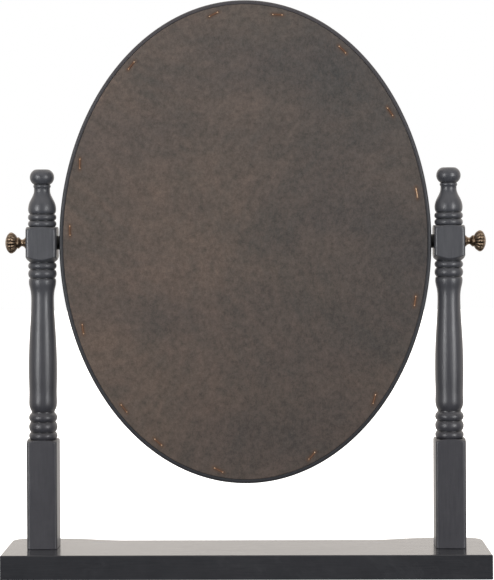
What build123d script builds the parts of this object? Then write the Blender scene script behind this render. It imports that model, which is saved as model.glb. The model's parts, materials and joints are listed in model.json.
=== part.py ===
from build123d import *

import os
from math import atan2, cos, degrees, radians, sin, tan

os.makedirs("parts", exist_ok=True)

# An oval dressing-table mirror that swings between two turned posts on a flat base board.
#
# Millimetres. +Z is up, the glass faces -Y, the hardboard back faces +Y, and left is -X.
# The origin is on the surface that the pads stand on, under the middle of the base board.

SIDES = (("left", -1), ("right", 1))
FACE_GAP = 0.15  # between the faces of pieces that move past each other

# Base board and its pads
BASE_WIDTH = 501
BASE_DEPTH = 100
BASE_THICKNESS = 25
BASE_ARRIS = 1
EAR_CORNER = 15  # radius of the two front corners
RECESS_DEPTH = 12  # the middle of the front edge steps back this far
RECESS_HALF = 128  # half its straight stretch
EAR_START = 196  # where the ogee meets the projecting end
PAD_DIAMETER = 18
PAD_THICKNESS = 1.5
PAD_INSET = 24  # pad centre to the nearest edges

# Posts: turned from square stock, which is left square at the foot and at the pivot block
POST_SPACING = 424
POST_WIDTH = 31.6
POST_ARRIS = 3
POST_HEIGHT = 394.5
FOOT_TOP = 112.6
BLOCK_BOTTOM = 297.5
BLOCK_TOP = 334.4
PIVOT_HEIGHT = 318  # above the foot of the post
FOOT_SHOULDER = 5.5  # height of what the lathe cuts at each end of a square stretch
LOWER_COVE = 6.2
UPPER_SHOULDER = 7.5
CORNER_RADIUS = 22.6  # just outside the stock's corners, where nothing is turned away
CREST = 14.8  # radius of a bead
GROOVE = 12.7  # radius between beads

# Screws up into the posts
SCREW_LENGTH = 50
SCREW_SHANK = 4
SCREW_HEAD = 8.4
SCREW_SINK = 0.3  # the head lies this far inside the board
SCREW_PITCH = 14  # between the two screws of a post
SINK_ANGLE = 82
BOARD_HOLE = 4.5

# Mirror frame. Its section runs inward from the outer edge, and from the back (+Y) to the front
FRAME_HALF_WIDTH = 193.4
FRAME_HALF_HEIGHT = 251
FRAME_THICKNESS = 20
BACKING_INSET = 4
GLASS_INSET = 20
SIGHT_INSET = 28
BACKING_REBATE = 3.2
BACKING_THICKNESS = 3
GLASS_THICKNESS = 4
REBATE_PLAY = 0.3

# Staples through the hardboard: angle round the oval as seen from the back, and each one's twist
STAPLES = (
    (12, 0), (34, 6), (56, -4), (79, 11), (100, 14), (130, 4), (160, 14), (177, 4),
    (202, -9), (226, -1), (240, -5), (261, -15), (292, 22), (317, 20), (345, 3),
)  # fmt: skip
STAPLE_INSET = 11.2
STAPLE_CROWN = 11
STAPLE_LEG = 8
STAPLE_WIDTH = 1.2
STAPLE_WIRE = 0.6

# Pivot hardware, along X through each post
STUD_DIAMETER = 5
STUD_BORE = 5.1
WASHER_BORE = 5.2
INSERT_DIAMETER = 8
INSERT_LENGTH = 12
INSERT_POCKET = 15
STUD_END = 10  # the stud stops this far inside the frame's edge
SPACER_DIAMETER = 14.3
WASHER_DIAMETER = 12.4
WASHER_THICKNESS = 0.8
KNOB_LENGTH = 21.8
KNOB_SOCKET = 15
HEAD_START = 9.5  # both from the knob's foot outward
HEAD_WIDEST = 15.6
HEAD_RADIUS = 11.1
FLUTES = 16
FLUTE_RADIUS = 1.3

# Worked out
BASE_TOP = PAD_THICKNESS + BASE_THICKNESS
PIVOT_Z = BASE_TOP + PIVOT_HEIGHT
POST_X = POST_SPACING / 2
POST_INNER = POST_X - POST_WIDTH / 2
POST_OUTER = POST_X + POST_WIDTH / 2
BACK = FRAME_THICKNESS / 2
SHELF = BACK - BACKING_REBATE
SEAT = SHELF - GLASS_THICKNESS
KNOB_FOOT = POST_OUTER + FACE_GAP + WASHER_THICKNESS + 0.1


def save(piece, name):
    """Labels a finished piece and writes its STEP."""
    piece.part.label = name
    export_step(piece.part, f"parts/{name}.step")


def across(sign, x):
    """A plane square to the pivot axis, at x from the middle, facing outward on that side."""
    return Plane(origin=(sign * x, 0, PIVOT_Z), x_dir=(0, sign, 0), z_dir=(sign, 0, 0))


def disc(sign, start, end, diameter):
    """A round disc on the pivot axis, from start to end."""
    with Locations(across(sign, start)):
        Cylinder(diameter / 2, end - start, align=(Align.CENTER, Align.CENTER, Align.MIN))


def bore(sign, x, diameter, depth=None):
    """A hole along the pivot axis, inward from x."""
    with Locations(across(sign, x)):
        Hole(diameter / 2, depth)


def upright(y):
    """A plane at depth y that faces the front, with its origin on the pivot axis."""
    return Plane(origin=(0, y, PIVOT_Z), x_dir=(1, 0, 0), z_dir=(0, -1, 0))


def oval(inset):
    """The frame's oval, that much smaller all round."""
    Ellipse(FRAME_HALF_WIDTH - inset, FRAME_HALF_HEIGHT - inset)


# --- Base board -------------------------------------------------------------------------------

with BuildPart() as base_board:
    with BuildSketch(Plane.XY.offset(PAD_THICKNESS)):
        with BuildLine():
            half, front = BASE_WIDTH / 2, -BASE_DEPTH / 2
            Polyline(
                (EAR_START, front), (half, front), (half, -front),
                (-half, -front), (-half, front), (-EAR_START, front),
            )  # fmt: skip
            along = ((1, 0), (1, 0))
            Spline((-EAR_START, front), (-RECESS_HALF, front + RECESS_DEPTH), tangents=along)
            Line((-RECESS_HALF, front + RECESS_DEPTH), (RECESS_HALF, front + RECESS_DEPTH))
            Spline((RECESS_HALF, front + RECESS_DEPTH), (EAR_START, front), tangents=along)
        make_face()
    extrude(amount=BASE_THICKNESS)
    uprights = base_board.edges().filter_by(Axis.Z)
    fillet([e for e in uprights if e.center().Y < front + 1 and abs(e.center().X) > half - 1], EAR_CORNER)
    fillet(base_board.faces().sort_by(Axis.Z)[-1].edges(), BASE_ARRIS)
    sink_mouth = SCREW_HEAD / 2 + SCREW_SINK * tan(radians(SINK_ANGLE / 2))
    for side, sign in SIDES:
        for y in (-SCREW_PITCH / 2, SCREW_PITCH / 2):
            with Locations(Plane(origin=(sign * POST_X, y, PAD_THICKNESS), z_dir=(0, 0, -1))):
                CounterSinkHole(BOARD_HOLE / 2, sink_mouth, counter_sink_angle=SINK_ANGLE)
save(base_board, "base_board")

for side, sign in SIDES:
    for end, toward in (("front", -1), ("back", 1)):
        with BuildPart() as pad:
            with BuildSketch():
                with Locations((sign * (BASE_WIDTH / 2 - PAD_INSET), toward * (BASE_DEPTH / 2 - PAD_INSET))):
                    Circle(PAD_DIAMETER / 2)
            extrude(amount=PAD_THICKNESS)
        save(pad, f"{end}_{side}_pad")


# --- Posts ------------------------------------------------------------------------------------


def bead(low, high, groove=GROOVE, crest=CREST):
    """A half-round bead between two heights."""
    ThreePointArc((groove, low), (crest, (low + high) / 2), (groove, high))


def shoulder(corner_height, neck_height, neck=GROOVE):
    """The lathe's rounded shoulder, from the stock's corner to the turned neck."""
    rise = neck_height - corner_height
    ThreePointArc(
        (CORNER_RADIUS, corner_height),
        (CORNER_RADIUS - 2, corner_height + 0.68 * rise),
        (neck, neck_height),
    )


def turned_outline():
    """Half the turned outline, as (radius, height above the foot)."""
    cove, waist, collar, neck, ring, cap = 12, 11.8, 14.15, 8.3, 9.1, 7.4
    Polyline((0, 0), (CORNER_RADIUS, 0), (CORNER_RADIUS, FOOT_TOP - FOOT_SHOULDER))
    shoulder(FOOT_TOP - FOOT_SHOULDER, FOOT_TOP)
    bead(FOOT_TOP, 120.5)
    bead(120.5, 131.4)
    bead(131.4, 139.8)
    ThreePointArc((GROOVE, 139.8), (cove, 141.6), (GROOVE, 143.4))
    vase = ((GROOVE, 143.4), (14.4, 157), (14.55, 171), (13.55, 223), (waist, 259))
    Spline(*vase, tangents=((1, 1.6), (0, 1)))
    Spline((waist, 259), (12.7, 269), (collar, 276.5), (GROOVE, 281), tangents=((0, 1), (-1, 0.3)))
    bead(281, 290.4)
    bead(290.4, BLOCK_BOTTOM)
    block_corner = (CORNER_RADIUS, BLOCK_BOTTOM + LOWER_COVE)
    ThreePointArc((GROOVE, BLOCK_BOTTOM), (POST_WIDTH / 2 + 0.3, BLOCK_BOTTOM + 2.8), block_corner)
    Line(block_corner, (CORNER_RADIUS, BLOCK_TOP - UPPER_SHOULDER))
    shoulder(BLOCK_TOP - UPPER_SHOULDER, BLOCK_TOP)
    bead(BLOCK_TOP, 341.2)
    bead(341.2, 348)
    bulb = ((GROOVE, 348), (14.5, 354), (12.6, 361.4), (9.1, 368.6), (neck, 373))
    Spline(*bulb, tangents=((1, 0.8), (0, 1)))
    Line((neck, 373), (neck, 375.2))
    bead(375.2, 378.8, neck, ring)
    ThreePointArc((neck, 378.8), (12.65, 386.5), (cap, POST_HEIGHT))
    Polyline((cap, POST_HEIGHT), (0, POST_HEIGHT), (0, 0))


for side, sign in SIDES:
    foot = (sign * POST_X, 0, BASE_TOP)
    with BuildPart() as post:
        with BuildSketch(Plane(origin=foot, x_dir=(1, 0, 0), z_dir=(0, -1, 0))):
            with BuildLine():
                turned_outline()
            make_face()
        revolve(axis=Axis(foot, (0, 0, 1)))
        with BuildSketch(Plane(origin=foot)):
            RectangleRounded(POST_WIDTH, POST_WIDTH, POST_ARRIS)
        extrude(amount=POST_HEIGHT, mode=Mode.INTERSECT)
        bore(sign, POST_OUTER, STUD_BORE, POST_WIDTH)
        for y in (-SCREW_PITCH / 2, SCREW_PITCH / 2):
            with Locations(Plane(origin=(sign * POST_X, y, BASE_TOP), z_dir=(0, 0, -1))):
                Hole(SCREW_SHANK / 2, SCREW_LENGTH - BASE_THICKNESS + 2)
    save(post, f"{side}_post")

    head_bottom = PAD_THICKNESS + SCREW_SINK
    head_height = (SCREW_HEAD - SCREW_SHANK) / 2 / tan(radians(SINK_ANGLE / 2))
    with BuildPart() as screws:
        for y in (-SCREW_PITCH / 2, SCREW_PITCH / 2):
            tip = (sign * POST_X, y, head_bottom)
            with BuildSketch(Plane(origin=tip, x_dir=(1, 0, 0), z_dir=(0, -1, 0))):
                with BuildLine():
                    Polyline(
                        (0, 0), (SCREW_HEAD / 2, 0), (SCREW_SHANK / 2, head_height),
                        (SCREW_SHANK / 2, SCREW_LENGTH - 6), (0.4, SCREW_LENGTH), (0, SCREW_LENGTH), (0, 0),
                    )  # fmt: skip
                make_face()
            revolve(axis=Axis(tip, (0, 0, 1)))
            with BuildSketch(Plane(origin=tip)):
                Rectangle(4.6, 0.9)
                Rectangle(0.9, 4.6)
            extrude(amount=1.8, mode=Mode.SUBTRACT)
    save(screws, f"{side}_post_screws")


# --- Mirror -----------------------------------------------------------------------------------

with BuildPart() as mirror_frame:
    with BuildLine(upright(0)) as rail:
        EllipticalCenterArc((0, 0), FRAME_HALF_WIDTH, FRAME_HALF_HEIGHT, 0, arc_size=360)
    section = Plane(origin=(FRAME_HALF_WIDTH, 0, PIVOT_Z), x_dir=(-1, 0, 0), z_dir=(0, 0, -1))
    with BuildSketch(section):
        with BuildLine():
            edge_round, land, step, lip = 2.5, 9, 1.2, 1.4
            lip_inner = SIGHT_INSET - lip
            Line((0, edge_round - BACK), (0, BACK - edge_round))
            RadiusArc((0, BACK - edge_round), (edge_round, BACK), edge_round)
            Polyline(
                (edge_round, BACK), (BACKING_INSET, BACK), (BACKING_INSET, SHELF), (GLASS_INSET, SHELF),
                (GLASS_INSET, SEAT), (SIGHT_INSET, SEAT), (SIGHT_INSET, 0), (lip_inner, -lip),
            )  # fmt: skip
            ThreePointArc((lip_inner, -lip), (16.5, -3.8), (land + 1, step - BACK))
            Polyline((land + 1, step - BACK), (land, step - BACK), (land, -BACK), (edge_round, -BACK))
            RadiusArc((edge_round, -BACK), (0, edge_round - BACK), edge_round)
        make_face()
    sweep(path=rail.wires()[0], is_frenet=True)
    for side, sign in SIDES:
        bore(sign, FRAME_HALF_WIDTH + 1, INSERT_DIAMETER, INSERT_POCKET + 1)
save(mirror_frame, "mirror_frame")

with BuildPart() as mirror_glass:
    with BuildSketch(upright(SHELF)):
        oval(GLASS_INSET + REBATE_PLAY)
    extrude(amount=GLASS_THICKNESS)
    chamfer(mirror_glass.edges(), 0.4)
save(mirror_glass, "mirror_glass")

with BuildPart() as backing_board:
    with BuildSketch(upright(SHELF + BACKING_THICKNESS)):
        oval(BACKING_INSET + REBATE_PLAY)
    extrude(amount=BACKING_THICKNESS)
save(backing_board, "backing_board")

with BuildPart() as backing_staples:
    for angle, twist in STAPLES:
        t = radians(180 - angle)
        across_oval = FRAME_HALF_WIDTH - STAPLE_INSET
        up_oval = FRAME_HALF_HEIGHT - STAPLE_INSET
        tangent = degrees(atan2(up_oval * cos(t), -across_oval * sin(t)))
        crown_back = SHELF + BACKING_THICKNESS + STAPLE_WIRE / 2
        centre = (across_oval * cos(t), crown_back, PIVOT_Z + up_oval * sin(t))
        along = radians(tangent - twist)
        lie = Plane(origin=centre, x_dir=(cos(along), 0, sin(along)), z_dir=(0, -1, 0))
        with BuildSketch(lie):
            Rectangle(STAPLE_CROWN, STAPLE_WIDTH)
        extrude(amount=STAPLE_WIRE)
        with BuildSketch(lie):
            with GridLocations(STAPLE_CROWN - STAPLE_WIRE, 0, 2, 1):
                Rectangle(STAPLE_WIRE, STAPLE_WIDTH)
        extrude(amount=STAPLE_LEG)
save(backing_staples, "backing_staples")


# --- Pivot hardware ---------------------------------------------------------------------------


def knob_outline():
    """Half the knob's outline, as (distance from its foot, radius)."""
    rim, neck, collar, tuck = 5.9, 3.5, 6, 5.6
    Polyline((0, 0), (0, rim), (1, rim))
    Spline((1, rim), (2.5, 4.2), (4.5, neck), (7.7, collar), tangents=((0.3, -1), (1, 0.8)))
    Polyline((7.7, collar), (9, collar), (HEAD_START, tuck))
    back = ((HEAD_START, tuck), (10.8, 8), (12.9, 9.95), (HEAD_WIDEST, HEAD_RADIUS))
    Spline(*back, tangents=((0.4, 1), (1, 0)))
    front = ((HEAD_WIDEST, HEAD_RADIUS), (18.1, 10.05), (20.2, 7), (KNOB_LENGTH, 0))
    Spline(*front, tangents=((1, 0), (0, -1)))
    Line((KNOB_LENGTH, 0), (0, 0))


for side, sign in SIDES:
    edge = FRAME_HALF_WIDTH
    with BuildPart() as insert:
        disc(sign, edge - 0.1 - INSERT_LENGTH, edge - 0.1, INSERT_DIAMETER)
        bore(sign, edge - 0.1, STUD_BORE, INSERT_LENGTH)
    save(insert, f"{side}_insert")

    with BuildPart() as spacer:
        disc(sign, edge, POST_INNER - FACE_GAP, SPACER_DIAMETER)
        bore(sign, POST_INNER - FACE_GAP, WASHER_BORE, POST_INNER - edge)
    save(spacer, f"{side}_spacer")

    with BuildPart() as washer:
        disc(sign, POST_OUTER + FACE_GAP, POST_OUTER + FACE_GAP + WASHER_THICKNESS, WASHER_DIAMETER)
        bore(sign, POST_OUTER + FACE_GAP + WASHER_THICKNESS, WASHER_BORE, WASHER_THICKNESS)
    save(washer, f"{side}_washer")

    with BuildPart() as stud:
        disc(sign, edge - STUD_END, KNOB_FOOT + KNOB_SOCKET, STUD_DIAMETER)
    save(stud, f"{side}_stud")

    knob_foot = (sign * KNOB_FOOT, 0, PIVOT_Z)
    lengthwise = Plane(origin=knob_foot, x_dir=(sign, 0, 0), z_dir=(0, -sign, 0))
    knob_axis = Axis(knob_foot, (sign, 0, 0))
    with BuildPart() as knob:
        with BuildSketch(lengthwise):
            with BuildLine():
                knob_outline()
            make_face()
        revolve(axis=knob_axis)
        with BuildPart(mode=Mode.PRIVATE) as flute:
            with BuildLine(lengthwise) as groove:
                ThreePointArc((10.9, 8.9), (HEAD_WIDEST, HEAD_RADIUS + 0.6), (20.7, 7.1))
            with BuildSketch(Plane(groove.line @ 0, z_dir=groove.line % 0)):
                Circle(FLUTE_RADIUS)
            sweep()
        for turn in range(FLUTES):
            add(flute.part.rotate(knob_axis, turn * 360 / FLUTES), mode=Mode.SUBTRACT)
        with BuildSketch(across(sign, KNOB_FOOT)):
            Circle(STUD_DIAMETER / 2)
        extrude(amount=KNOB_SOCKET, mode=Mode.SUBTRACT)
    save(knob, f"{side}_knob")
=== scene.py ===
import json
from math import atan2, cos, exp, pi, radians, sin, sqrt

import bmesh
import bpy
import numpy as np
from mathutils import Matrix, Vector


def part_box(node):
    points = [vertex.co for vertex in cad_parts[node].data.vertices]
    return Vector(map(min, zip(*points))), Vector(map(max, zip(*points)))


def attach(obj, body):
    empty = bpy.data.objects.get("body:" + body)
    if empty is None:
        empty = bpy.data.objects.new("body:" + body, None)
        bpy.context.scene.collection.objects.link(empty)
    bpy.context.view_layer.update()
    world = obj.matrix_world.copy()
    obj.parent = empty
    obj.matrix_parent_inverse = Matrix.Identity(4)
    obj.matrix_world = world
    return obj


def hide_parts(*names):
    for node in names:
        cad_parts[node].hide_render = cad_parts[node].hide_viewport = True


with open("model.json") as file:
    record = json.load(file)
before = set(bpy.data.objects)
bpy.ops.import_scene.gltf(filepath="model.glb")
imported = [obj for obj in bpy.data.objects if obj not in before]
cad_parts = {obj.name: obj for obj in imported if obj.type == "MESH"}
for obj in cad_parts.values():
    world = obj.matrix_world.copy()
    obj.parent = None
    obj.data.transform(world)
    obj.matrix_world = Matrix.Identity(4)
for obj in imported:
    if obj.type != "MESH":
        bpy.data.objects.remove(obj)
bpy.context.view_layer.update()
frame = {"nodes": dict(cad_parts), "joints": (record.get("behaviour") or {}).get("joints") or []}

# ---------------------------------------------------------------- sizes from the CAD, in millimetres
MM = 0.001
X, Y, Z = 0, 1, 2
LOWEST, HIGHEST = 0, 1
SIDES = (("left", -1), ("right", 1))


def limit(node, end, axis):
    """Where a CAD node starts or ends along an axis, to the nearest 0.05 mm."""
    return round(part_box(node)[end][axis] / MM * 20) / 20


tilt = next(joint for joint in frame["joints"] if joint["name"] == "mirror_tilt")
PIVOT_Z = round(tilt["pos_m"][Z] / MM, 2)
OVAL_X = limit("mirror_frame", HIGHEST, X)
OVAL_Z = limit("mirror_frame", HIGHEST, Z) - PIVOT_Z
FRAME_BACK = limit("mirror_frame", HIGHEST, Y)
GLASS_FRONT = limit("mirror_glass", LOWEST, Y)
BOARD_FRONT, BOARD_BACK = (limit("backing_board", end, Y) for end in (LOWEST, HIGHEST))
POST_INNER, POST_OUTER = (limit("right_post", end, X) for end in (LOWEST, HIGHEST))
POST_X, HALF_WIDTH = (POST_INNER + POST_OUTER) / 2, (POST_OUTER - POST_INNER) / 2
FOOT_Z = limit("right_post", LOWEST, Z)
POST_TOP = limit("right_post", HIGHEST, Z) - FOOT_Z
KNOB_FOOT = limit("right_knob", LOWEST, X)


# ---------------------------------------------------------------- lines and meshes
def arc(start, through, end, steps):
    """Points along the circle through three points, both ends included."""
    (ax, ay), (bx, by), (cx, cy) = start, through, end
    scale = 2 * (ax * (by - cy) + bx * (cy - ay) + cx * (ay - by))
    aa, bb, cc = ax * ax + ay * ay, bx * bx + by * by, cx * cx + cy * cy
    centre_x = (aa * (by - cy) + bb * (cy - ay) + cc * (ay - by)) / scale
    centre_y = (aa * (cx - bx) + bb * (ax - cx) + cc * (bx - ax)) / scale
    radius = sqrt((ax - centre_x) ** 2 + (ay - centre_y) ** 2)
    first, middle, last = (atan2(y - centre_y, x - centre_x) for x, y in (start, through, end))
    turn = (last - first) % (2 * pi)
    if (middle - first) % (2 * pi) > turn:
        turn -= 2 * pi
    angles = [first + part for part in np.linspace(0, turn, steps + 1)]
    return [(centre_x + radius * cos(a), centre_y + radius * sin(a)) for a in angles]


def spline(points, first_tangent, last_tangent, steps):
    """A cubic through the points with the given directions at its ends."""
    p = np.array(points, float)
    gaps = np.linalg.norm(np.diff(p, axis=0), axis=1)
    knots = np.concatenate(([0], np.cumsum(gaps)))
    count = len(p)
    matrix, known = np.eye(count), np.zeros_like(p)
    known[0] = np.array(first_tangent, float) / np.hypot(*first_tangent)
    known[-1] = np.array(last_tangent, float) / np.hypot(*last_tangent)
    for i in range(1, count - 1):
        before, after = gaps[i - 1], gaps[i]
        matrix[i, i - 1 : i + 2] = after, 2 * (before + after), before
        known[i] = 3 * (after * (p[i] - p[i - 1]) / before + before * (p[i + 1] - p[i]) / after)
    slopes = np.linalg.solve(matrix, known)
    line = []
    for distance in np.linspace(0, knots[-1], steps + 1):
        i = min(int(np.searchsorted(knots, distance, side="right")) - 1, count - 2)
        u = (distance - knots[i]) / gaps[i]
        start = (1 + 2 * u) * (1 - u) ** 2 * p[i] + u * (1 - u) ** 2 * gaps[i] * slopes[i]
        end = u * u * (3 - 2 * u) * p[i + 1] + u * u * (u - 1) * gaps[i] * slopes[i + 1]
        line.append(tuple(start + end))
    return line


def joined(*runs):
    """One polyline from several, without the points that repeat."""
    line = []
    for run in runs:
        for point in run:
            if not line or np.hypot(point[0] - line[-1][0], point[1] - line[-1][1]) > 1e-6:
                line.append((float(point[0]), float(point[1])))
    return line


def sheet_faces(rows, columns, wrap_rows=False, first=0):
    """Quads of a grid of points whose columns wrap round; first is the number of its first point."""
    faces = []
    for r in range(rows if wrap_rows else rows - 1):
        for c in range(columns):
            s, t = (r + 1) % rows, (c + 1) % columns
            corners = (r * columns + c, r * columns + t, s * columns + t, s * columns + c)
            faces.append(tuple(first + corner for corner in corners))
    return faces


def row_face(row, columns, first=0):
    """One face over a whole row of such a grid."""
    return tuple(first + row * columns + c for c in range(columns))


def fan_faces(row, columns, centre):
    """Triangles from a row of such a grid to the point numbered centre."""
    return [(row * columns + c, row * columns + (c + 1) % columns, centre) for c in range(columns)]


def turn_faces_outward(mesh):
    bm = bmesh.new()
    bm.from_mesh(mesh)
    bmesh.ops.recalc_face_normals(bm, faces=bm.faces)
    bm.to_mesh(mesh)
    bm.free()


def build(name, points, faces, body, material, replaced, values=None):
    """A smooth-shaded piece from points in millimetres that rides on a body in a node's place."""
    mesh = bpy.data.meshes.new(name)
    mesh.from_pydata((np.asarray(points, float) * MM).tolist(), [], faces)
    mesh.validate()
    mesh.shade_smooth()
    for key, numbers in (values or {}).items():
        attribute = mesh.attributes.new(key, "FLOAT", "POINT")
        attribute.data.foreach_set("value", np.asarray(numbers, np.float32))
    mesh.materials.append(material)
    piece = bpy.data.objects.new(name, mesh)
    bpy.context.scene.collection.objects.link(piece)
    turn_faces_outward(mesh)
    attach(piece, body)
    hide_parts(replaced)
    return piece


# ---------------------------------------------------------------- materials
class Shader:
    """A small writer of node materials."""

    def __init__(self, name):
        self.material = bpy.data.materials.new(name)
        self.material.use_nodes = True
        self.nodes = self.material.node_tree.nodes
        self.links = self.material.node_tree.links
        self.nodes.clear()
        self.output = self.nodes.new("ShaderNodeOutputMaterial")
        self.surface = self.nodes.new("ShaderNodeBsdfPrincipled")
        self.links.new(self.surface.outputs[0], self.output.inputs[0])
        self.coordinates = self.nodes.new("ShaderNodeTexCoord")

    def set(self, **values):
        """Constants on the surface shader's own sockets."""
        for key, value in values.items():
            self.surface.inputs[key.replace("_", " ")].default_value = value

    def feed(self, socket, output):
        """Links an output to one of the surface shader's sockets."""
        self.links.new(output, self.surface.inputs[socket])

    def place(self, scale, shift=(0, 0, 0)):
        """Object coordinates, stretched along each axis and then shifted."""
        node = self.nodes.new("ShaderNodeMapping")
        node.inputs["Scale"].default_value = scale
        node.inputs["Location"].default_value = shift
        self.links.new(self.coordinates.outputs["Object"], node.inputs["Vector"])
        return node.outputs[0]

    def noise(self, scale, detail=3.0, roughness=0.5, stretch=(1, 1, 1), distortion=0.0, shift=(0, 0, 0)):
        """Cloud noise whose scale is in cycles for each metre."""
        node = self.nodes.new("ShaderNodeTexNoise")
        node.inputs["Scale"].default_value = scale
        node.inputs["Detail"].default_value = detail
        node.inputs["Roughness"].default_value = roughness
        node.inputs["Distortion"].default_value = distortion
        self.links.new(self.place(stretch, shift), node.inputs["Vector"])
        return node.outputs["Fac"]

    def value(self, attribute):
        """A number that the piece's points carry."""
        node = self.nodes.new("ShaderNodeAttribute")
        node.attribute_name = attribute
        return node.outputs["Fac"]

    def along(self, name):
        """The place along one axis, in metres."""
        node = self.nodes.new("ShaderNodeSeparateXYZ")
        self.links.new(self.place((1, 1, 1)), node.inputs[0])
        return node.outputs[name]

    def remap(self, source, low, high, to_low=0.0, to_high=1.0):
        """Carries low...high to to_low...to_high, and holds it there outside."""
        node = self.nodes.new("ShaderNodeMapRange")
        ends = {"From Min": low, "From Max": high, "To Min": to_low, "To Max": to_high}
        for key, number in ends.items():
            node.inputs[key].default_value = number
        self.links.new(source, node.inputs["Value"])
        return node.outputs[0]

    def math(self, operation, first, second):
        """Combines two outputs, or an output and a number."""
        node = self.nodes.new("ShaderNodeMath")
        node.operation = operation
        for socket, item in zip(node.inputs, (first, second)):
            if isinstance(item, (int, float)):
                socket.default_value = item
            else:
                self.links.new(item, socket)
        return node.outputs[0]

    def mix(self, factor, first, second, blend="MIX"):
        """Mixes two colours; each is an output or three linear numbers."""
        node = self.nodes.new("ShaderNodeMix")
        node.data_type = "RGBA"
        node.blend_type = blend
        if isinstance(factor, (int, float)):
            node.inputs[0].default_value = factor
        else:
            self.links.new(factor, node.inputs[0])
        for socket, item in ((node.inputs[6], first), (node.inputs[7], second)):
            if isinstance(item, tuple):
                socket.default_value = (*item, 1)
            else:
                self.links.new(item, socket)
        return node.outputs[2]

    def tinted(self, colour, source, low, high):
        """Multiplies a colour by a tint that runs from low to high as the source goes from 0 to 1."""
        return self.mix(1.0, colour, self.mix(source, low, high), "MULTIPLY")

    def bump(self, height, strength, distance, after=None):
        """Relief; distance is in metres, and after is another bump's output."""
        node = self.nodes.new("ShaderNodeBump")
        node.inputs["Strength"].default_value = strength
        node.inputs["Distance"].default_value = distance
        self.links.new(height, node.inputs["Height"])
        if after is not None:
            self.links.new(after, node.inputs["Normal"])
        return node.outputs[0]


SLATE_DARK, SLATE_LIGHT = (0.054, 0.0565, 0.066), (0.072, 0.0745, 0.085)
SLATE_PALE, SLATE_PIT = (0.125, 0.128, 0.142), (0.02, 0.021, 0.025)
# the colour of the painted shade in the posts' grooves
GROOVE_SHADE = (0.006, 0.006, 0.007)


def painted_wood(name, along, roughness, tone, smudged, painted_light=None, shade_grooves=False, gloss=0.5):
    """Satin slate paint over fine-grained wood; along is the grain's axis.

    tone darkens the paint, and smudged is how strong its pale smudges are. The tint by height is painted
    light and shade: two heights in metres with the tints below and above them. The groove tint is
    painted shade on the points that carry it."""
    s = Shader(name)
    stretch = tuple(0.05 if axis == along else 1.0 for axis in "XYZ")
    grain = s.noise(700, 4, 0.7, stretch, distortion=0.4)
    cloud = s.noise(30, 4, 0.7)
    speck = s.noise(1500, 3, 0.7)
    dark, light, pale = (
        tuple(c * tone for c in colour) for colour in (SLATE_DARK, SLATE_LIGHT, SLATE_PALE)
    )
    colour = s.mix(s.remap(cloud, 0.3, 0.7), dark, light)
    colour = s.mix(s.remap(grain, 0.35, 0.75, 0, 0.3), colour, pale)
    colour = s.mix(s.remap(speck, 0.3, 0.8, 0, 0.25), colour, SLATE_PIT)
    smudge = s.remap(s.noise(22, 5, 0.8, distortion=1.0), 0.52, 0.72, 0, smudged)
    colour = s.mix(smudge, colour, pale)
    # painted light and shade: darker below the first height, lighter above the second
    if painted_light:
        low, high, under, over = painted_light
        colour = s.tinted(colour, s.remap(s.along("Z"), low, high), under, over)
    # painted shade in the grooves: each point darkened by the amount it carries
    if shade_grooves:
        colour = s.mix(s.math("MULTIPLY", s.value("painted_groove_shade"), 0.75), colour, GROOVE_SHADE)
    s.feed("Base Color", colour)
    s.feed("Roughness", s.remap(grain, 0.3, 0.7, roughness - 0.04, roughness + 0.06))
    s.set(IOR=1.5, Specular_IOR_Level=gloss)
    relief = s.bump(grain, 0.45, 0.00014)
    s.feed("Normal", s.bump(speck, 0.2, 0.00006, relief))
    return s.material


def plain(name, colour, roughness, grit, scale, metallic=0.0, spread=0.15, sheen=0.0):
    """A quiet surface with a little unevenness of colour, gloss and relief.

    grit is the strength of the relief, scale its cycles for each metre, and spread the colour's share
    of lightening and darkening."""
    s = Shader(name)
    cloud = s.noise(scale * 0.05, 3, 0.5)
    fine = s.noise(scale, 3, 0.55)
    darker = tuple(c * (1 - spread) for c in colour)
    lighter = tuple(c * (1 + spread) for c in colour)
    s.feed("Base Color", s.mix(s.remap(cloud, 0.3, 0.7), darker, lighter))
    s.feed("Roughness", s.remap(fine, 0.3, 0.7, roughness * 0.88, roughness * 1.12))
    s.set(Metallic=metallic, Sheen_Weight=sheen)
    s.feed("Normal", s.bump(fine, grit, 0.00008))
    return s.material


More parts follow.
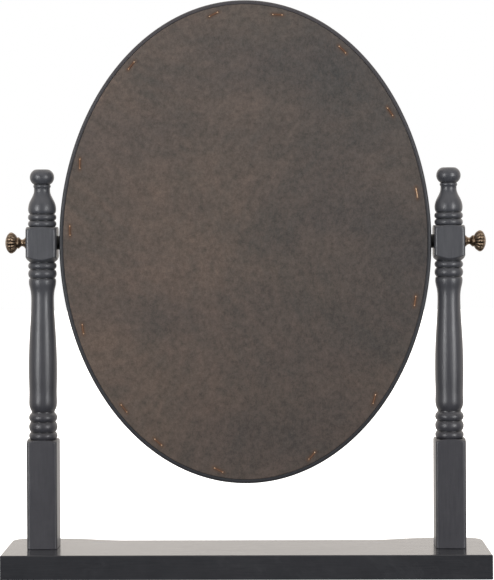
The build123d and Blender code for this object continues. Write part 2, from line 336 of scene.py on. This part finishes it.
def hardboard():
    """Brown-grey board with reddish clouds, fine grey fibre and rust stains by the staples.

    Its painted light makes it lighter towards +X and towards the top.
    """
    s = Shader("hardboard")
    # painted light and shade: the corner colours make the board lighter towards +X and higher up, and the
    # top colour lightens it further near its upper edge
    lower_left, lower_right = (0.0710, 0.0576, 0.0512), (0.1010, 0.0770, 0.0640)
    upper_left, upper_right = (0.0740, 0.0678, 0.0640), (0.1140, 0.0905, 0.0770)
    top, pale_fibre, rust = (0.124, 0.098, 0.084), (0.17, 0.135, 0.11), (0.10, 0.052, 0.029)
    side = s.remap(s.along("X"), -0.15, 0.15)
    lower = s.mix(side, lower_left, lower_right)
    upper = s.mix(side, upper_left, upper_right)
    colour = s.mix(s.remap(s.along("Z"), 0.15, 0.54), lower, upper)
    colour = s.mix(s.remap(s.along("Z"), 0.48, 0.58, 0, 0.5), colour, top)
    cloud = s.remap(s.noise(4.5, 5, 0.92, distortion=0.5), 0.34, 0.66)
    colour = s.tinted(colour, cloud, (0.78, 0.85, 0.88), (1.22, 1.15, 1.12))
    drift = s.remap(s.noise(9, 2, 0.55, (0.55, 1, 1), shift=(1.35, 0, 1.72)), 0.3, 0.7)
    colour = s.tinted(colour, drift, (0.755, 0.8, 0.85), (1.105, 1.065, 1.025))
    fibre = s.noise(170, 4, 0.95)
    colour = s.tinted(colour, s.remap(fibre, 0.3, 0.7), (0.62, 0.64, 0.65), (1.38, 1.36, 1.35))
    streak = s.noise(520, 3, 0.6, (1, 1, 0.35))
    colour = s.mix(s.remap(streak, 0.5, 0.8, 0, 0.25), colour, pale_fibre)
    stain = s.math("MULTIPLY", s.value("stain"), s.remap(fibre, 0.3, 0.7, 0.5, 1.0))
    s.feed("Base Color", s.mix(stain, colour, rust))
    s.feed("Roughness", s.remap(streak, 0.3, 0.7, 0.62, 0.78))
    s.set(Specular_IOR_Level=0.25)
    relief = s.bump(fibre, 0.3, 0.00012)
    s.feed("Normal", s.bump(streak, 0.3, 0.0001, relief))
    return s.material


def staple_steel():
    """Thin steel wire: orange-brown where it is rubbed, dark and rusty elsewhere, and pale where it
    carries most, chiefly at the bends: partly wear, partly a painted glint.
    """
    s = Shader("staple_wire")
    dark_rust, orange, bright = (0.115, 0.05, 0.026), (0.44, 0.225, 0.105), (0.8, 0.66, 0.5)
    rust = s.noise(1100, 4, 0.7)
    wear_and_glint = s.math("MULTIPLY", s.value("wear_and_glint"), s.remap(rust, 0.3, 0.6, 1.1, 0.7))
    # the pale end of this colour is partly a painted glint
    rubbed = s.mix(s.remap(wear_and_glint, 0.5, 0.95), orange, bright)
    s.feed("Base Color", s.mix(s.remap(wear_and_glint, 0.05, 0.6), dark_rust, rubbed))
    s.feed("Metallic", s.remap(wear_and_glint, 0, 1, 0.1, 0.3))
    s.feed("Roughness", s.remap(wear_and_glint, 0, 1, 0.7, 0.42))
    s.feed("Normal", s.bump(rust, 0.5, 0.00008))
    return s.material


def antique_brass(name, ribbed):
    """Brass with a dark patina that stays in the grooves and is rubbed off the ribs."""
    s = Shader(name)
    bright, dull, patina = (0.27, 0.20, 0.14), (0.15, 0.105, 0.07), (0.055, 0.040, 0.028)
    groove_dirt = (0.006, 0.005, 0.004)
    cloud = s.noise(160, 3, 0.6)
    fine = s.noise(1800, 3, 0.6)
    colour = s.mix(s.remap(cloud, 0.3, 0.7, 0.0, 0.5), bright, dull)
    colour = s.mix(s.remap(fine, 0.45, 0.75, 0, 0.4), colour, patina)
    if ribbed:
        colour = s.mix(s.remap(s.value("groove"), 0.3, 0.85), colour, groove_dirt)
    s.feed("Base Color", colour)
    s.set(Metallic=1.0)
    s.feed("Roughness", s.remap(fine, 0.3, 0.7, 0.33, 0.48))
    s.feed("Normal", s.bump(fine, 0.25, 0.00006))
    return s.material


def silvered_glass():
    """Silvering seen through clear glass, with a faint haze."""
    s = Shader("mirror_silver")
    haze = s.noise(30, 3, 0.5)
    s.feed("Base Color", s.mix(haze, (0.86, 0.885, 0.875), (0.89, 0.91, 0.90)))
    s.feed("Roughness", s.remap(haze, 0.3, 0.7, 0.015, 0.03))
    s.set(Metallic=0.92)
    return s.material


# painted light and shade on the posts: darker at the feet and lower turnings, lighter from the blocks up
POST_PAINTED_LIGHT = (0.14, 0.34, (0.79, 0.765, 0.78), (1.11, 1.11, 1.11))
# painted light and shade on the frame: darker low down, lighter and warmer towards its top
FRAME_PAINTED_LIGHT = (0.36, 0.58, (0.86, 0.86, 0.86), (1.8, 1.62, 1.54))
PAINT_POST = painted_wood(
    "painted_wood_post", "Z", roughness=0.36, tone=0.875, smudged=0.1, painted_light=POST_PAINTED_LIGHT, shade_grooves=True
)
PAINT_FRAME = painted_wood(
    "painted_wood_frame", "Z", roughness=0.4, tone=0.56, smudged=0.1, painted_light=FRAME_PAINTED_LIGHT, gloss=0.28
)
# the low tone paints the base darker than the posts: painted shade, as the light falls off towards the
# bottom
PAINT_BASE = painted_wood("painted_wood_base", "X", roughness=0.16, tone=0.455, smudged=0.4)
BOARD = hardboard()
STAPLE = staple_steel()
BRASS = antique_brass("antique_brass_ribbed", ribbed=True)
BRASS_PLAIN = antique_brass("antique_brass_plain", ribbed=False)
STEEL = plain("zinc_steel", (0.56, 0.56, 0.55), 0.32, metallic=1.0, grit=0.2, scale=1200)
BLACK = plain("black_plastic", (0.0045, 0.0045, 0.005), 0.42, grit=0.3, scale=2500)
FELT = plain("pressed_felt", (0.028, 0.028, 0.03), 0.95, grit=0.9, scale=3200, spread=0.3, sheen=0.5)
GLASS = silvered_glass()

# ---------------------------------------------------------------- posts
CORNER, CREST, GROOVE = 22.6, 14.8, 12.7  # radii, from a post's own axis
WAIST_RADIUS, NECK_RADIUS, RING_RADIUS, BALL_RADIUS = 11.8, 8.3, 9.1, 12.65
SQUARE_TOP, BLOCK_TOP = 107.1, 326.9  # heights, from a post's own foot
LOWER_BEADS = (112.6, 120.5, 131.4, 139.8)
COVE_MIDDLE, COVE_TOP = 141.6, 143.4
WAIST = 259.0
MIDDLE_BEADS = (281.0, 290.4, 297.5)
BLOCK_ROUND, BLOCK_FOOT = 300.3, 303.7
UPPER_BEADS = (334.4, 341.2, 348.0)
NECK, RING_FOOT, RING_TOP = 373.0, 375.2, 378.8
BALL_MIDDLE, BALL_TOP = 386.5, 394.3
GROOVES = (*LOWER_BEADS[:3], COVE_MIDDLE, *MIDDLE_BEADS, *UPPER_BEADS, NECK + 1, RING_TOP)
SHADE_REACH = 0.75  # how far up and down from a groove its painted shade goes
SHADE_CUT = 0.3  # how far in from the square a point has to be to take painted shade
ARRIS, SOFT_EDGE, FOOT_ROUND = 3.0, 1.0, 0.8  # roundings: of the square, of a cut edge, of the foot
CROWDING = 1.7  # how strongly the points crowd towards the square's corners
FOOT_ROWS = (0, 0.05, 0.12, 0.22, 0.34, 0.48, 0.64, 0.8, 1.0)  # close together where it rounds


def bead(low, high, groove=GROOVE, crest=CREST):
    return arc((groove, low), (crest, (low + high) / 2), (groove, high), 14)


def beads(grooves):
    """A run of beads, one from each groove to the next."""
    return joined(*(bead(low, high) for low, high in zip(grooves, grooves[1:])))


def shoulder(corner, neck):
    """The turned end of a square length, from its corners in to a groove."""
    return arc((CORNER, corner), (CORNER - 2, corner + 0.68 * (neck - corner)), (GROOVE, neck), 22)


def turned_outline():
    """(radius, height) up a post, from its foot."""
    vase = [(GROOVE, COVE_TOP), (14.4, 157), (14.55, 171), (13.55, 223), (WAIST_RADIUS, WAIST)]
    flare = [(WAIST_RADIUS, WAIST), (12.7, 269), (14.15, 276.5), (GROOVE, MIDDLE_BEADS[0])]
    taper = [(GROOVE, UPPER_BEADS[-1]), (14.5, 354), (12.6, 361.4), (9.1, 368.6), (NECK_RADIUS, NECK)]
    return joined(
        [(CORNER, h) for h in FOOT_ROWS],
        [(CORNER, h) for h in np.linspace(5, SQUARE_TOP, 12)],
        shoulder(SQUARE_TOP, LOWER_BEADS[0]),
        beads(LOWER_BEADS),
        arc((GROOVE, LOWER_BEADS[-1]), (12, COVE_MIDDLE), (GROOVE, COVE_TOP), 6),
        spline(vase, (1, 1.6), (0, 1), 48),
        spline(flare, (0, 1), (-1, 0.3), 26),
        beads(MIDDLE_BEADS),
        arc((GROOVE, MIDDLE_BEADS[-1]), (HALF_WIDTH + 0.3, BLOCK_ROUND), (CORNER, BLOCK_FOOT), 22),
        [(CORNER, h) for h in np.linspace(BLOCK_FOOT, BLOCK_TOP, 5)],
        shoulder(BLOCK_TOP, UPPER_BEADS[0]),
        beads(UPPER_BEADS),
        spline(taper, (1, 0.8), (0, 1), 34),
        [(NECK_RADIUS, RING_FOOT)],
        bead(RING_FOOT, RING_TOP, NECK_RADIUS, RING_RADIUS),
        arc((NECK_RADIUS, RING_TOP), (BALL_RADIUS, BALL_MIDDLE), (7.6, BALL_TOP), 26),
        [(7.0, POST_TOP), (3.0, POST_TOP)],
    )


def square_radius(angle):
    """Distance from the axis to the post's square section, its arrises rounded."""
    a = abs((angle + pi / 4) % (pi / 2) - pi / 4)
    flat = HALF_WIDTH / cos(a)
    inner = HALF_WIDTH - ARRIS
    if flat * sin(a) <= inner:
        return flat
    toward = inner * (cos(a) + sin(a))
    return toward + sqrt(max(toward**2 - 2 * inner**2 + ARRIS**2, 0))


def post_angles():
    """Angles round a post, closer together towards the corners of its square lengths."""
    eighth = [pi / 4 * (1 - (1 - u) ** CROWDING) for u in np.linspace(0, 1, 13)]
    quarter = eighth + [pi / 2 - a for a in eighth[-2:0:-1]]
    return [q * pi / 2 + a for q in range(4) for a in quarter]


def build_post(side, sign):
    """The turned outline cut off at the post's square, with soft edges where the two meet.

    Each point also carries how much painted shade darkens it in the grooves."""
    angles = post_angles()
    squares = np.array([square_radius(a) for a in angles])
    outline = turned_outline()
    points, painted_groove_shade = [], []
    for radius, height in outline:
        # painted shade, strongest at each groove and none on the square lengths
        painted_shade = max(exp(-(((height - groove) / SHADE_REACH) ** 2)) for groove in GROOVES)
        blend = np.maximum(SOFT_EDGE - np.abs(squares - radius), 0) / SOFT_EDGE
        low = max(FOOT_ROUND - height, 0)
        drawn_in = FOOT_ROUND - sqrt(FOOT_ROUND**2 - low**2)
        radii = np.minimum(squares, radius) - blend**2 * SOFT_EDGE / 4 - drawn_in
        for a, r, square in zip(angles, radii, squares):
            points.append((sign * POST_X + r * cos(a), r * sin(a), FOOT_Z + height))
            painted_groove_shade.append(painted_shade if r < square - SHADE_CUT else 0.0)
    rows, columns = len(outline), len(angles)
    faces = sheet_faces(rows, columns)
    for row, height in ((0, 0), (rows - 1, POST_TOP)):
        faces += fan_faces(row, columns, len(points))
        points.append((sign * POST_X, 0, FOOT_Z + height))
        painted_groove_shade.append(0.0)
    name = f"{side}_post"
    build(f"{name}_turned", points, faces, "stand", PAINT_POST, name, {"painted_groove_shade": painted_groove_shade})


# ---------------------------------------------------------------- mirror frame
FRAME_EDGE = 2.5  # rounding of the frame's outer edges
FRAME_TURNS = 420
LIP, BOARD_WALL, GLASS_WALL = 28.0, 4.0, 20.0  # insets of the opening and of the two rebates
NICK = 0.35  # softening of the rebates' edges
HOLLOW = ((26.6, -1.4), (16.5, -3.8), (10.1, -8.7))  # the front's curve, from the opening outward
STEP = ((9.9, -8.8), (9.1, -8.8), (9.0, -8.9), (9.0, -9.8), (8.8, -10))


def oval_point(turn, inset):
    """A place inset from the frame's outer edge, in X and Z."""
    out_x, out_z = OVAL_Z * cos(turn), OVAL_X * sin(turn)
    length = sqrt(out_x**2 + out_z**2)
    x = OVAL_X * cos(turn) - inset * (out_x / length)
    z = PIVOT_Z + OVAL_Z * sin(turn) - inset * (out_z / length)
    return x, z


def frame_section():
    """(inset, depth) round the moulding: its edge, the back with two rebates, and the front."""
    flat = FRAME_BACK - FRAME_EDGE
    slant = FRAME_EDGE - FRAME_EDGE * cos(pi / 4), flat + FRAME_EDGE * sin(pi / 4)
    return joined(
        [(0, depth) for depth in np.linspace(-flat, flat, 5)],
        arc((0, flat), slant, (FRAME_EDGE, FRAME_BACK), 8),
        [(BOARD_WALL - NICK, FRAME_BACK), (BOARD_WALL - 0.3 * NICK, FRAME_BACK - 0.3 * NICK)],
        [(BOARD_WALL, FRAME_BACK - NICK), (BOARD_WALL, BOARD_FRONT)],
        [(GLASS_WALL, BOARD_FRONT), (GLASS_WALL, GLASS_FRONT)],
        [(LIP - NICK, GLASS_FRONT), (LIP, GLASS_FRONT - NICK)],
        [(LIP, 0.2), (LIP - 0.1, -0.1), (LIP - 1.2, -1.2)],
        arc(*HOLLOW, 14),
        STEP,
        [(2.7, -FRAME_BACK)],
        arc((FRAME_EDGE, -FRAME_BACK), (slant[0], -slant[1]), (0, -flat), 8)[:-1],
    )


def build_frame():
    section = frame_section()
    points = []
    for i in range(FRAME_TURNS):
        for inset, depth in section:
            x, z = oval_point(2 * pi * i / FRAME_TURNS, inset)
            points.append((x, depth, z))
    faces = sheet_faces(FRAME_TURNS, len(section), wrap_rows=True)
    name = "mirror_frame_moulding"
    piece = build(name, points, faces, "mirror", PAINT_FRAME, "mirror_frame")
    piece.modifiers.new("edges", "WEIGHTED_NORMAL")


# ---------------------------------------------------------------- backing board and staples
STAPLES = (  # degrees round from -X by way of the top, twist in degrees, how much the crown is rubbed
    (12, 0, 0.75), (34, 6, 0.12), (56, -4, 0.1), (79, 11, 0.1), (100, 14, 0.12), (130, 4, 0.1),
    (160, 14, 0.2), (177, 4, 0.1), (202, -9, 0.15), (226, -1, 0.1), (240, -5, 0.1),
    (261, -15, 0.1), (292, 22, 0.12), (317, 20, 0.15), (345, 3, 0.25),
)  # fmt: skip
STAPLE_INSET = 11.2
CROWN, CROWN_DEPTH = 11.0, 10.0
LEG_END, LEG_BEND, LEG_MIDDLE = 3.5, 0.9, 7.0
WIRE_HALF_WIDTH, WIRE_HALF_THICKNESS, WIRE_SQUARENESS = 0.6, 0.3, 0.75
# painted glints, partly wear: pale spots at the crown's two bends
BEND_GLINT_AND_WEAR, BEND_GLINT_FROM_END, BEND_GLINT_REACH = 0.84, 0.7, 0.9
WEAR_AND_GLINT_DEPTH = 0.8  # how far down from its crown a staple carries its rubbing and its painted glints
BOARD_INSET = 4.3
BOARD_TURNS = 720
STAPLED_INSETS = np.arange(5.6, 20.1, 0.9)  # rings of points close together under the staples
INNER_SHARES = np.linspace(0.96, 0.04, 24)  # and wide apart from there to the middle
STAIN_REACH, DIMPLE_REACH, DIMPLE_DEPTH = 2.1, 1.4, 0.22


def staple_places():
    """(x, z, direction) of each staple: its middle and the angle that its crown lies along."""
    places = []
    for angle, twist, _ in STAPLES:
        t = radians(180 - angle)
        rx, rz = OVAL_X - STAPLE_INSET, OVAL_Z - STAPLE_INSET
        tangent = atan2(rz * cos(t), -rx * sin(t))
        places.append((rx * cos(t), PIVOT_Z + rz * sin(t), tangent - radians(twist)))
    return places


def distance_to_crown(points, x, z, along):
    """How far each point is from a staple's crown, across the board."""
    u = (points[:, X] - x) * cos(along) + (points[:, Z] - z) * sin(along)
    v = -(points[:, X] - x) * sin(along) + (points[:, Z] - z) * cos(along)
    return np.hypot(np.maximum(np.abs(u) - CROWN / 2, 0), v)


def build_board():
    """The hardboard, dimpled under the staples; stain says how rusty each point is."""
    edge = [(0, BOARD_FRONT), (0, BOARD_BACK - 0.3), (0.15, BOARD_BACK - 0.08), (0.5, BOARD_BACK)]
    rings = [(BOARD_INSET + inset, depth) for inset, depth in edge]
    rings += [(inset, BOARD_BACK) for inset in STAPLED_INSETS]
    turns = np.linspace(0, 2 * pi, BOARD_TURNS, endpoint=False)
    points = []
    for inset, depth in rings:
        for turn in turns:
            x, z = oval_point(turn, inset)
            points.append([x, depth, z])
    last = np.array(points[-BOARD_TURNS:])
    for share in INNER_SHARES:
        ring = last.copy()
        ring[:, X] *= share
        ring[:, Z] = PIVOT_Z + (ring[:, Z] - PIVOT_Z) * share
        points.extend(ring.tolist())
    rows = len(points) // BOARD_TURNS
    faces = sheet_faces(rows, BOARD_TURNS)
    faces.append(row_face(0, BOARD_TURNS))
    faces += fan_faces(rows - 1, BOARD_TURNS, len(points))
    points.append([0, BOARD_BACK, PIVOT_Z])
    xyz = np.array(points)
    stain = np.zeros(len(xyz))
    for place in staple_places():
        distance = distance_to_crown(xyz, *place)
        stain = np.maximum(stain, np.exp(-((distance / STAIN_REACH) ** 2)))
        dimple = DIMPLE_DEPTH * np.exp(-((distance / DIMPLE_REACH) ** 2))
        xyz[:, Y] -= np.where(xyz[:, Y] > BOARD_BACK - 0.1, dimple, 0)
    values = {"stain": stain}
    build("backing_panel", xyz, faces, "mirror", BOARD, "backing_board", values)


def staple_line():
    """(along, out) down the middle of the wire, from one leg to the other."""
    half = CROWN / 2 - WIRE_HALF_THICKNESS
    left = [(-half, LEG_END), (-half, LEG_MIDDLE), (-half, CROWN_DEPTH - LEG_BEND)]
    centre, level = LEG_BEND - half, CROWN_DEPTH - LEG_BEND
    bend = [
        (centre - LEG_BEND * cos(a), level + LEG_BEND * sin(a)) for a in np.linspace(0, pi / 2, 8)[1:]
    ]
    crown = [(u, CROWN_DEPTH) for u in np.linspace(centre, 0, 6)[1:]]
    line = left + bend + crown
    return line + [(-u, w) for u, w in line[-2::-1]]


def wire_section():
    """(across, out) round the flat wire."""
    ring = []
    for a in np.linspace(0, 2 * pi, 14, endpoint=False):
        across = WIRE_HALF_WIDTH * np.sign(cos(a)) * abs(cos(a)) ** WIRE_SQUARENESS
        out = WIRE_HALF_THICKNESS * np.sign(sin(a)) * abs(sin(a)) ** WIRE_SQUARENESS
        ring.append((across, out))
    return ring


def build_staples():
    """All the staples in one piece; each point carries how much it is rubbed, with painted glints at the
    bends.
    """
    line, ring = staple_line(), wire_section()
    rows, columns = len(line), len(ring)
    points, faces, wear_and_glint = [], [], []
    for (x, z, along), (_, _, rubbed) in zip(staple_places(), STAPLES):
        first = len(points)
        for i, (u, w) in enumerate(line):
            before, after = line[max(i - 1, 0)], line[min(i + 1, rows - 1)]
            du, dw = after[0] - before[0], after[1] - before[1]
            length = sqrt(du * du + dw * dw)
            du, dw = du / length, dw / length
            # painted glint, partly wear: a pale spot near each end of the crown
            away = abs(abs(u) - (CROWN / 2 - BEND_GLINT_FROM_END)) / BEND_GLINT_REACH
            wear = max(rubbed, BEND_GLINT_AND_WEAR * exp(-(away**2))) if w > CROWN_DEPTH - WEAR_AND_GLINT_DEPTH else 0.0
            for across, out in ring:
                pu, depth = u - dw * out, w + du * out
                px = x + pu * cos(along) - across * sin(along)
                pz = z + pu * sin(along) + across * cos(along)
                points.append((px, depth, pz))
                wear_and_glint.append(wear)
        faces += sheet_faces(rows, columns, first=first)
        faces += [row_face(row, columns, first) for row in (0, rows - 1)]
    values = {"wear_and_glint": wear_and_glint}
    build("staple_row", points, faces, "mirror", STAPLE, "backing_staples", values)


# ---------------------------------------------------------------- knobs
LOBES = 16
STEPS_A_LOBE = 14
FLUTE_DEPTH, FLUTE_FULLNESS = 0.95, 0.8
FLUTE_START, FLUTE_RUN_IN = 9.4, 1.6
FLUTE_END, FLUTE_RUN_OUT, FLUTE_RUN_OUT_FULLNESS = 21.6, 3.2, 0.7


def knob_outline():
    """(distance from the foot, radius)."""
    collar = [(0, 0.1), (0, 5.5), (0.1, 5.8), (0.4, 5.9), (1, 5.88)]
    neck = [(1, 5.85), (2.5, 4.2), (4.5, 3.5), (7.6, 5.85)]
    ring = [(7.85, 5.95), (8.8, 5.95), (9.05, 5.8), (9.45, 5.55)]
    head = [(9.5, 5.55), (10.8, 7.95), (12.9, 9.9), (15.6, 11.05)]
    dome = [(15.6, 11.05), (18.1, 10.0), (20.2, 6.95), (21.75, 0.3)]
    return joined(
        collar,
        spline(neck, (0.3, -1), (1, 0.9), 22),
        ring,
        spline(head, (0.4, 1), (1, 0), 22),
        spline(dome, (1, 0), (0, -1), 24),
    )


def build_knob(side, sign):
    """A knob with a fluted head; groove says how deep in a flute each point is."""
    outline = knob_outline()
    around = LOBES * STEPS_A_LOBE
    points, groove = [], []
    for x, radius in outline:
        run_in = min(max((x - FLUTE_START) / FLUTE_RUN_IN, 0), 1)
        run_out = min(max((FLUTE_END - x) / FLUTE_RUN_OUT, 0), 1) ** FLUTE_RUN_OUT_FULLNESS
        for i in range(around):
            a = 2 * pi * i / around
            hollow = run_in * run_out * (1 - abs(cos(LOBES / 2 * a)) ** FLUTE_FULLNESS)
            r = radius - FLUTE_DEPTH * hollow
            points.append((sign * (KNOB_FOOT + x), r * cos(a), PIVOT_Z + r * sin(a)))
            groove.append(hollow)
    faces = sheet_faces(len(outline), around)
    faces += [row_face(row, around) for row in (0, len(outline) - 1)]
    name = f"{side}_knob"
    build(f"{name}_ribbed", points, faces, name, BRASS, name, {"groove": groove})


build_frame()
build_board()
build_staples()
for side, sign in SIDES:
    build_knob(side, sign)
for side, sign in SIDES:
    build_post(side, sign)

# ---------------------------------------------------------------- nodes that stay
KEPT = (
    (PAINT_BASE, ["base_board"]),
    (GLASS, ["mirror_glass"]),
    (BLACK, [f"{side}_spacer" for side, _ in SIDES]),
    (BRASS_PLAIN, [f"{side}_washer" for side, _ in SIDES]),
    (STEEL, [f"{side}_{part}" for part in ("stud", "insert", "post_screws") for side, _ in SIDES]),
    (FELT, [f"{end}_{side}_pad" for end in ("front", "back") for side, _ in SIDES]),
)
for material, nodes in KEPT:
    for node in nodes:
        mesh = frame["nodes"][node].data
        mesh.materials.clear()
        mesh.materials.append(material)

# ---------------------------------------------------------------- floor, light and camera
scene = bpy.context.scene
FLOOR_SIZE = 6.0
FLOOR_Z = -0.0001


def build_floor():
    """A white floor that the object's own surfaces neither reflect nor take light from."""
    mesh = bpy.data.meshes.new("floor")
    corners = [(-1, -1), (1, -1), (1, 1), (-1, 1)]
    mesh.from_pydata([(x * FLOOR_SIZE, y * FLOOR_SIZE, FLOOR_Z) for x, y in corners], [], [(0, 1, 2, 3)])
    white = (1, 1, 1, 1)
    s = Shader("floor")
    s.set(Base_Color=(0.8, 0.8, 0.8, 1), Roughness=0.9, Emission_Color=white, Emission_Strength=0.9)
    mesh.materials.append(s.material)
    floor = bpy.data.objects.new("floor", mesh)
    scene.collection.objects.link(floor)
    floor.visible_diffuse = False
    floor.visible_glossy = False


class Sky:
    """A small writer of world nodes, for light that depends on its direction."""

    def __init__(self, name):
        world = bpy.data.worlds.new(name)
        scene.world = world
        world.use_nodes = True
        self.nodes, self.links = world.node_tree.nodes, world.node_tree.links
        self.nodes.clear()
        self.output = self.nodes.new("ShaderNodeOutputWorld")
        coordinates = self.nodes.new("ShaderNodeTexCoord")
        self.direction = self.nodes.new("ShaderNodeSeparateXYZ")
        self.links.new(coordinates.outputs["Generated"], self.direction.inputs[0])

    def ramp(self, axis, stops):
        """Levels along one axis of the direction, from 0 at its lowest to 1 at its highest."""
        node = self.nodes.new("ShaderNodeValToRGB")
        node.color_ramp.interpolation = "EASE"
        elements = node.color_ramp.elements
        while len(elements) < len(stops):
            elements.new(0.5)
        for element, (place, level) in zip(elements, stops):
            element.position = place
            element.color = (level, level, level, 1)
        mapped = self.nodes.new("ShaderNodeMapRange")
        mapped.inputs["From Min"].default_value = -1
        self.links.new(self.direction.outputs[axis], mapped.inputs["Value"])
        self.links.new(mapped.outputs[0], node.inputs[0])
        return node.outputs[0]

    def level(self, operation, first, second):
        """Combines two levels."""
        node = self.nodes.new("ShaderNodeMath")
        node.operation = operation
        self.links.new(first, node.inputs[0])
        self.links.new(second, node.inputs[1])
        return node.outputs[0]

    def mix(self, blend, first, second, factor=1.0):
        """Mixes two colours; the second and the factor are outputs or numbers."""
        node = self.nodes.new("ShaderNodeMix")
        node.data_type = "RGBA"
        node.blend_type = blend
        self.links.new(first, node.inputs[6])
        for socket, item in ((node.inputs[7], second), (node.inputs[0], factor)):
            if isinstance(item, (tuple, float)):
                socket.default_value = item
            else:
                self.links.new(item, socket)
        return node.outputs[2]

    def finish(self, colour, strength):
        """The colour for everything but the camera, which sees white."""
        blend = self.nodes.new("ShaderNodeMixShader")
        path = self.nodes.new("ShaderNodeLightPath")
        white = self.nodes.new("ShaderNodeBackground")
        around = self.nodes.new("ShaderNodeBackground")
        white.inputs[0].default_value = (1, 1, 1, 1)
        around.inputs[1].default_value = strength
        self.links.new(colour, around.inputs[0])
        self.links.new(path.outputs["Is Camera Ray"], blend.inputs[0])
        self.links.new(around.outputs[0], blend.inputs[1])
        self.links.new(white.outputs[0], blend.inputs[2])
        self.links.new(blend.outputs[0], self.output.inputs[0])


PATCH_GREY = (0.3, 0.31, 0.33, 1)
WARMTH = (1.0, 0.94, 0.88, 1)
SKY_STRENGTH = 1.47


def build_world():
    """White to the camera; round the object it is bright towards -Y and overhead, and dim towards +Y.

    Low down it is dark but for a pale floor towards -Y. Grey patches at -Y and an opening at +Y give
    the glass something to show."""
    sky = Sky("studio")
    depth = sky.ramp("Y", [(0.0, 1.0), (0.22, 0.95), (0.5, 0.45), (0.66, 0.08), (1.0, 0.06)])
    height = sky.ramp("Z", [(0.0, 0.04), (0.36, 0.08), (0.44, 1.0), (0.75, 0.85), (1.0, 0.6)])
    room = sky.mix("MULTIPLY", depth, height)

    beyond = sky.ramp("Y", [(0.0, 1), (0.3, 1), (0.47, 0)])
    low = sky.ramp("Z", [(0.0, 0.5), (0.3, 0.46), (0.41, 0.34), (0.45, 0)])
    narrow = sky.ramp("X", [(0.0, 0), (0.448, 0), (0.475, 1), (0.53, 1), (0.557, 0)])
    window = sky.ramp("Z", [(0.0, 0), (0.42, 0.03), (0.5, 0.3), (0.56, 0.6), (0.62, 0.5), (0.7, 0)])
    ahead = sky.ramp("Y", [(0.0, 0), (0.6, 0), (0.8, 1)])
    opening = sky.level("MULTIPLY", sky.level("MULTIPLY", narrow, window), ahead)
    pale_floor = sky.level("MULTIPLY", low, beyond)
    room = sky.mix("ADD", room, sky.level("ADD", pale_floor, opening))

    middle = sky.ramp("X", [(0.0, 0), (0.447, 0), (0.485, 1), (0.515, 1), (0.553, 0)])
    level = sky.ramp("Z", [(0.0, 0), (0.33, 0), (0.44, 1), (0.505, 1), (0.56, 0)])
    beside = sky.ramp("X", [(0.0, 0.5), (0.36, 0.5), (0.43, 0), (0.57, 0), (0.64, 0.5)])
    lower = sky.ramp("Z", [(0.0, 0), (0.36, 0), (0.43, 1), (0.46, 1), (0.51, 0)])
    patches = sky.level("ADD", sky.level("MULTIPLY", middle, level), sky.level("MULTIPLY", beside, lower))
    room = sky.mix("MIX", room, PATCH_GREY, sky.level("MULTIPLY", patches, beyond))

    overhead = sky.ramp("Z", [(0.0, 0.0), (0.72, 0.0), (0.9, 0.45), (0.97, 0.6), (1.0, 0.6)])
    room = sky.mix("ADD", room, overhead)
    sky.finish(sky.mix("MULTIPLY", room, WARMTH), SKY_STRENGTH)


SOFTBOX_DISTANCE, SOFTBOX_Z = 2.0, 0.45
SOFTBOX_WIDTH, SOFTBOX_HEIGHT = 0.6, 1.2
SOFTBOX_WATTS = 27


def build_softbox(name, azimuth):
    """A lamp that faces the object; azimuth is in degrees from +Y towards +X."""
    light = bpy.data.lights.new(name, "AREA")
    light.shape = "RECTANGLE"
    light.size, light.size_y = SOFTBOX_WIDTH, SOFTBOX_HEIGHT
    light.energy = SOFTBOX_WATTS
    lamp = bpy.data.objects.new(name, light)
    scene.collection.objects.link(lamp)
    a = radians(azimuth)
    lamp.location = (SOFTBOX_DISTANCE * sin(a), SOFTBOX_DISTANCE * cos(a), SOFTBOX_Z)
    lamp.rotation_mode = "QUATERNION"
    lamp.rotation_quaternion = Vector((-sin(a), -cos(a), 0)).to_track_quat("-Z", "Y")


CAMERA_PLACE = (-0.0284, 1.7962, 0.3554)
CAMERA_DOWN, CAMERA_ROLL, CAMERA_YAW = 0.301, 0.2717, 0.8427


def build_camera():
    """Behind the object, at the height of its pivots; angles are in degrees."""
    data = bpy.data.cameras.new("camera")
    data.sensor_width = 36
    data.lens = 106.88
    data.shift_y = -0.0854
    data.clip_start = 0.05
    camera = bpy.data.objects.new("camera", data)
    scene.collection.objects.link(camera)
    camera.location = CAMERA_PLACE
    camera.rotation_mode = "XYZ"
    turns = (90 - CAMERA_DOWN, CAMERA_ROLL, 180 + CAMERA_YAW)
    camera.rotation_euler = [radians(turn) for turn in turns]
    scene.camera = camera


build_floor()
build_world()
build_softbox("softbox_right", 40)
build_softbox("softbox_left", -40)
build_camera()
scene.view_settings.view_transform = "Standard"
